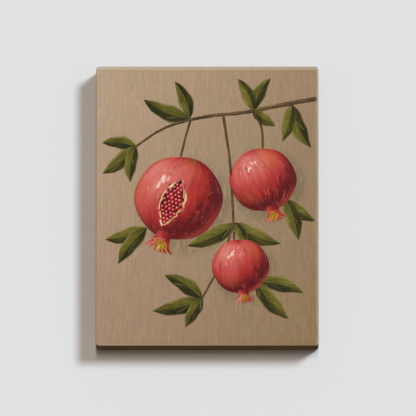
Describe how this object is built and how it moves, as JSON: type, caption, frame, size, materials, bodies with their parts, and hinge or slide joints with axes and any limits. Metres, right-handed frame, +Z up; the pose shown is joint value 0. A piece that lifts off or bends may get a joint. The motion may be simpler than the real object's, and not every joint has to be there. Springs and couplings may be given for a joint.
{
  "type": "stretched canvas picture",
  "caption": "Gallery-wrapped canvas picture that hangs on a wall: a painted sheet on mitred, keyed stretcher bars, with a sawtooth hanger and bumpers behind.",
  "frame": {"origin": "on the wall's face, at the middle notch of the sawtooth hanger, where the wall's nail stands", "axes": "+Z up, the picture faces -Y, the wall is the plane Y = 0, and +X is the viewer's right"},
  "size_m": [0.2794, 0.043, 0.3566],
  "materials": {
    "canvas": "primed cotton, brushed with matte paint",
    "wood": "bare planed pine",
    "key_wood": "bare sawn beech",
    "staple_steel": "zinc coated wire",
    "hanger_steel": "zinc plated sheet",
    "rubber": "matte",
    "paint_leaf": "thick oil paint, satin",
    "paint_bark": "thick oil paint, satin",
    "paint_rose": "thick oil paint, satin",
    "paint_pink": "thick oil paint, satin",
    "paint_crimson": "thick oil paint, satin",
    "paint_gold": "thick oil paint, satin"
  },
  "bodies": {
    "root": {"bar_bottom": "wood", "bar_left": "wood", "bar_right": "wood", "bar_top": "wood", "bumper_left": "rubber", "bumper_right": "rubber", "canvas": "canvas", "hanger": "hanger_steel", "key_bottom_a": "key_wood", "key_bottom_b": "key_wood", "key_left_a": "key_wood", "key_left_b": "key_wood", "key_right_a": "key_wood", "key_right_b": "key_wood", "key_top_a": "key_wood", "key_top_b": "key_wood", "nail_left": "hanger_steel", "nail_right": "hanger_steel", "paint_branch": "paint_bark", "paint_fruit_large": "paint_rose", "paint_fruit_middle": "paint_rose", "paint_fruit_small": "paint_rose", "paint_leaves_1": "paint_leaf", "paint_leaves_2": "paint_leaf", "paint_leaves_3": "paint_leaf", "paint_leaves_4": "paint_leaf", "paint_leaves_5": "paint_leaf", "paint_leaves_6": "paint_leaf", "paint_leaves_7": "paint_leaf", "paint_leaves_8": "paint_leaf", "paint_leaves_9": "paint_leaf", "paint_light_large": "paint_pink", "paint_light_middle": "paint_pink", "paint_light_small": "paint_pink", "paint_shade_large": "paint_crimson", "paint_shade_middle": "paint_crimson", "paint_shade_small": "paint_crimson", "paint_stamens_large": "paint_gold", "paint_stamens_middle": "paint_gold", "paint_stamens_small": "paint_gold", "staple_bottom_1": "staple_steel", "staple_bottom_2": "staple_steel", "staple_bottom_3": "staple_steel", "staple_bottom_4": "staple_steel", "staple_bottom_5": "staple_steel", "staple_left_1": "staple_steel", "staple_left_2": "staple_steel", "staple_left_3": "staple_steel", "staple_left_4": "staple_steel", "staple_left_5": "staple_steel", "staple_right_1": "staple_steel", "staple_right_2": "staple_steel", "staple_right_3": "staple_steel", "staple_right_4": "staple_steel", "staple_right_5": "staple_steel", "staple_top_1": "staple_steel", "staple_top_2": "staple_steel", "staple_top_3": "staple_steel", "staple_top_4": "staple_steel", "staple_top_5": "staple_steel"}
  },
  "joints": []
}
